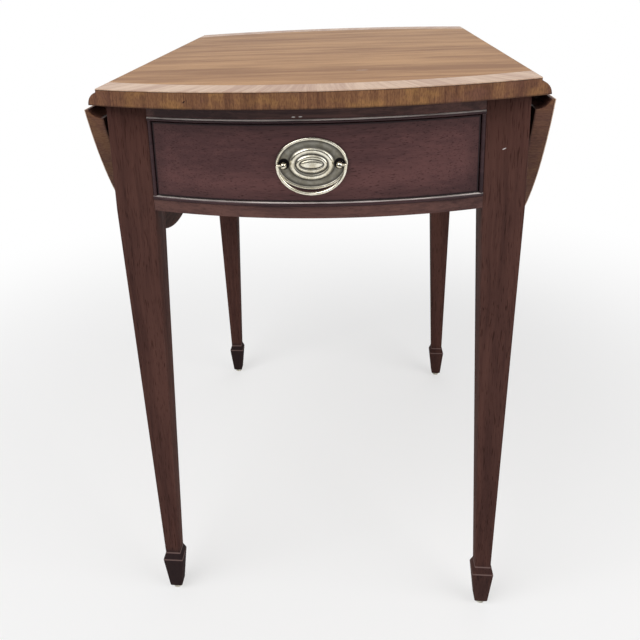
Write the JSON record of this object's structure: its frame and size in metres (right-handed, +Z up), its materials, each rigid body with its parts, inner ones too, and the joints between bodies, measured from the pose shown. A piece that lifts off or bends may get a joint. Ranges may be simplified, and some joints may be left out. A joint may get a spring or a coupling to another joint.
{
  "type": "drop-leaf side table",
  "caption": "Oval drop-leaf side table with a bow-fronted drawer end, rule-jointed hanging leaves, oval bail pull and square tapered legs on spade feet.",
  "frame": {"origin": "on the floor under the middle of the top", "axes": "+X to the right seen from the drawer end, +Y from the drawer end to the back, +Z up"},
  "size_m": [0.512, 0.75, 0.711],
  "materials": {
    "leg_mahogany": "polished, dark red-brown",
    "apron_mahogany": "polished, dark red-brown",
    "drawer_mahogany": "polished, red-brown",
    "bead_mahogany": "polished, worn pale on the round",
    "top_veneer": "high gloss, golden brown",
    "crossband_veneer": "high gloss, pale cross grain",
    "edge_veneer": "satin, upright grain",
    "secondary_wood": "raw, planed",
    "fly_wood": "stained, planed",
    "pull_brass": "antique, rubbed bright on the high places",
    "hinge_steel": "dull, oiled",
    "screw_steel": "dull",
    "glide_steel": "bright, scuffed"
  },
  "bodies": {
    "table": {"front_left_leg": "leg_mahogany", "front_right_leg": "leg_mahogany", "back_left_leg": "leg_mahogany", "back_right_leg": "leg_mahogany", "front_top_rail": "apron_mahogany", "front_bottom_rail": "apron_mahogany", "back_top_rail": "apron_mahogany", "back_bottom_rail": "apron_mahogany", "back_sham_front": "drawer_mahogany", "front_beads": "bead_mahogany", "back_beads": "bead_mahogany", "fixed_top": "top_veneer", "top_crossbands": "crossband_veneer", "top_edge_bands": "edge_veneer", "left_side_rail": "secondary_wood", "right_side_rail": "secondary_wood", "left_runner": "secondary_wood", "right_runner": "secondary_wood", "left_kicker": "secondary_wood", "right_kicker": "secondary_wood", "drawer_stops": "secondary_wood", "left_fly_front": "fly_wood", "left_fly_back": "fly_wood", "left_fly_block": "fly_wood", "right_fly_front": "fly_wood", "right_fly_back": "fly_wood", "right_fly_block": "fly_wood", "back_pull_plate": "pull_brass", "back_pull_posts": "pull_brass", "back_pull_nuts": "pull_brass", "hinge_top_plates": "hinge_steel", "hinge_pins": "hinge_steel", "fly_pins": "hinge_steel", "top_screws": "screw_steel", "hinge_top_screws": "screw_steel", "foot_glides": "glide_steel"},
    "left_leaf": {"left_leaf_panel": "top_veneer", "left_leaf_crossband": "crossband_veneer", "left_leaf_edge_band": "edge_veneer", "left_hinge_leaf_plates": "hinge_steel", "left_hinge_leaf_screws": "screw_steel"},
    "right_leaf": {"right_leaf_panel": "top_veneer", "right_leaf_crossband": "crossband_veneer", "right_leaf_edge_band": "edge_veneer", "right_hinge_leaf_plates": "hinge_steel", "right_hinge_leaf_screws": "screw_steel"},
    "drawer": {"drawer_front": "drawer_mahogany", "drawer_left_side": "secondary_wood", "drawer_right_side": "secondary_wood", "drawer_back": "secondary_wood", "drawer_bottom": "secondary_wood", "drawer_pull_plate": "pull_brass", "drawer_pull_posts": "pull_brass", "drawer_pull_nuts": "pull_brass"},
    "drawer_bail": {"drawer_pull_bail": "pull_brass"},
    "back_bail": {"back_pull_bail": "pull_brass"}
  },
  "joints": [
    {"name": "left_leaf_hinge", "type": "hinge", "parent": "table", "child": "left_leaf", "pos_m": [-0.237, 0, 0.692], "axis": [0, 1, 0], "range_deg": [0, 90]},
    {"name": "right_leaf_hinge", "type": "hinge", "parent": "table", "child": "right_leaf", "pos_m": [0.237, 0, 0.692], "axis": [0, -1, 0], "range_deg": [0, 90]},
    {"name": "drawer_slide", "type": "slide", "parent": "table", "child": "drawer", "axis": [0, -1, 0], "range_m": [0, 0.32]},
    {"name": "drawer_bail_hinge", "type": "hinge", "parent": "drawer", "child": "drawer_bail", "pos_m": [0, -0.3605, 0.629], "axis": [-1, 0, 0], "range_deg": [0, 100]},
    {"name": "back_bail_hinge", "type": "hinge", "parent": "table", "child": "back_bail", "pos_m": [0, 0.3605, 0.629], "axis": [1, 0, 0], "range_deg": [0, 100]}
  ]
}
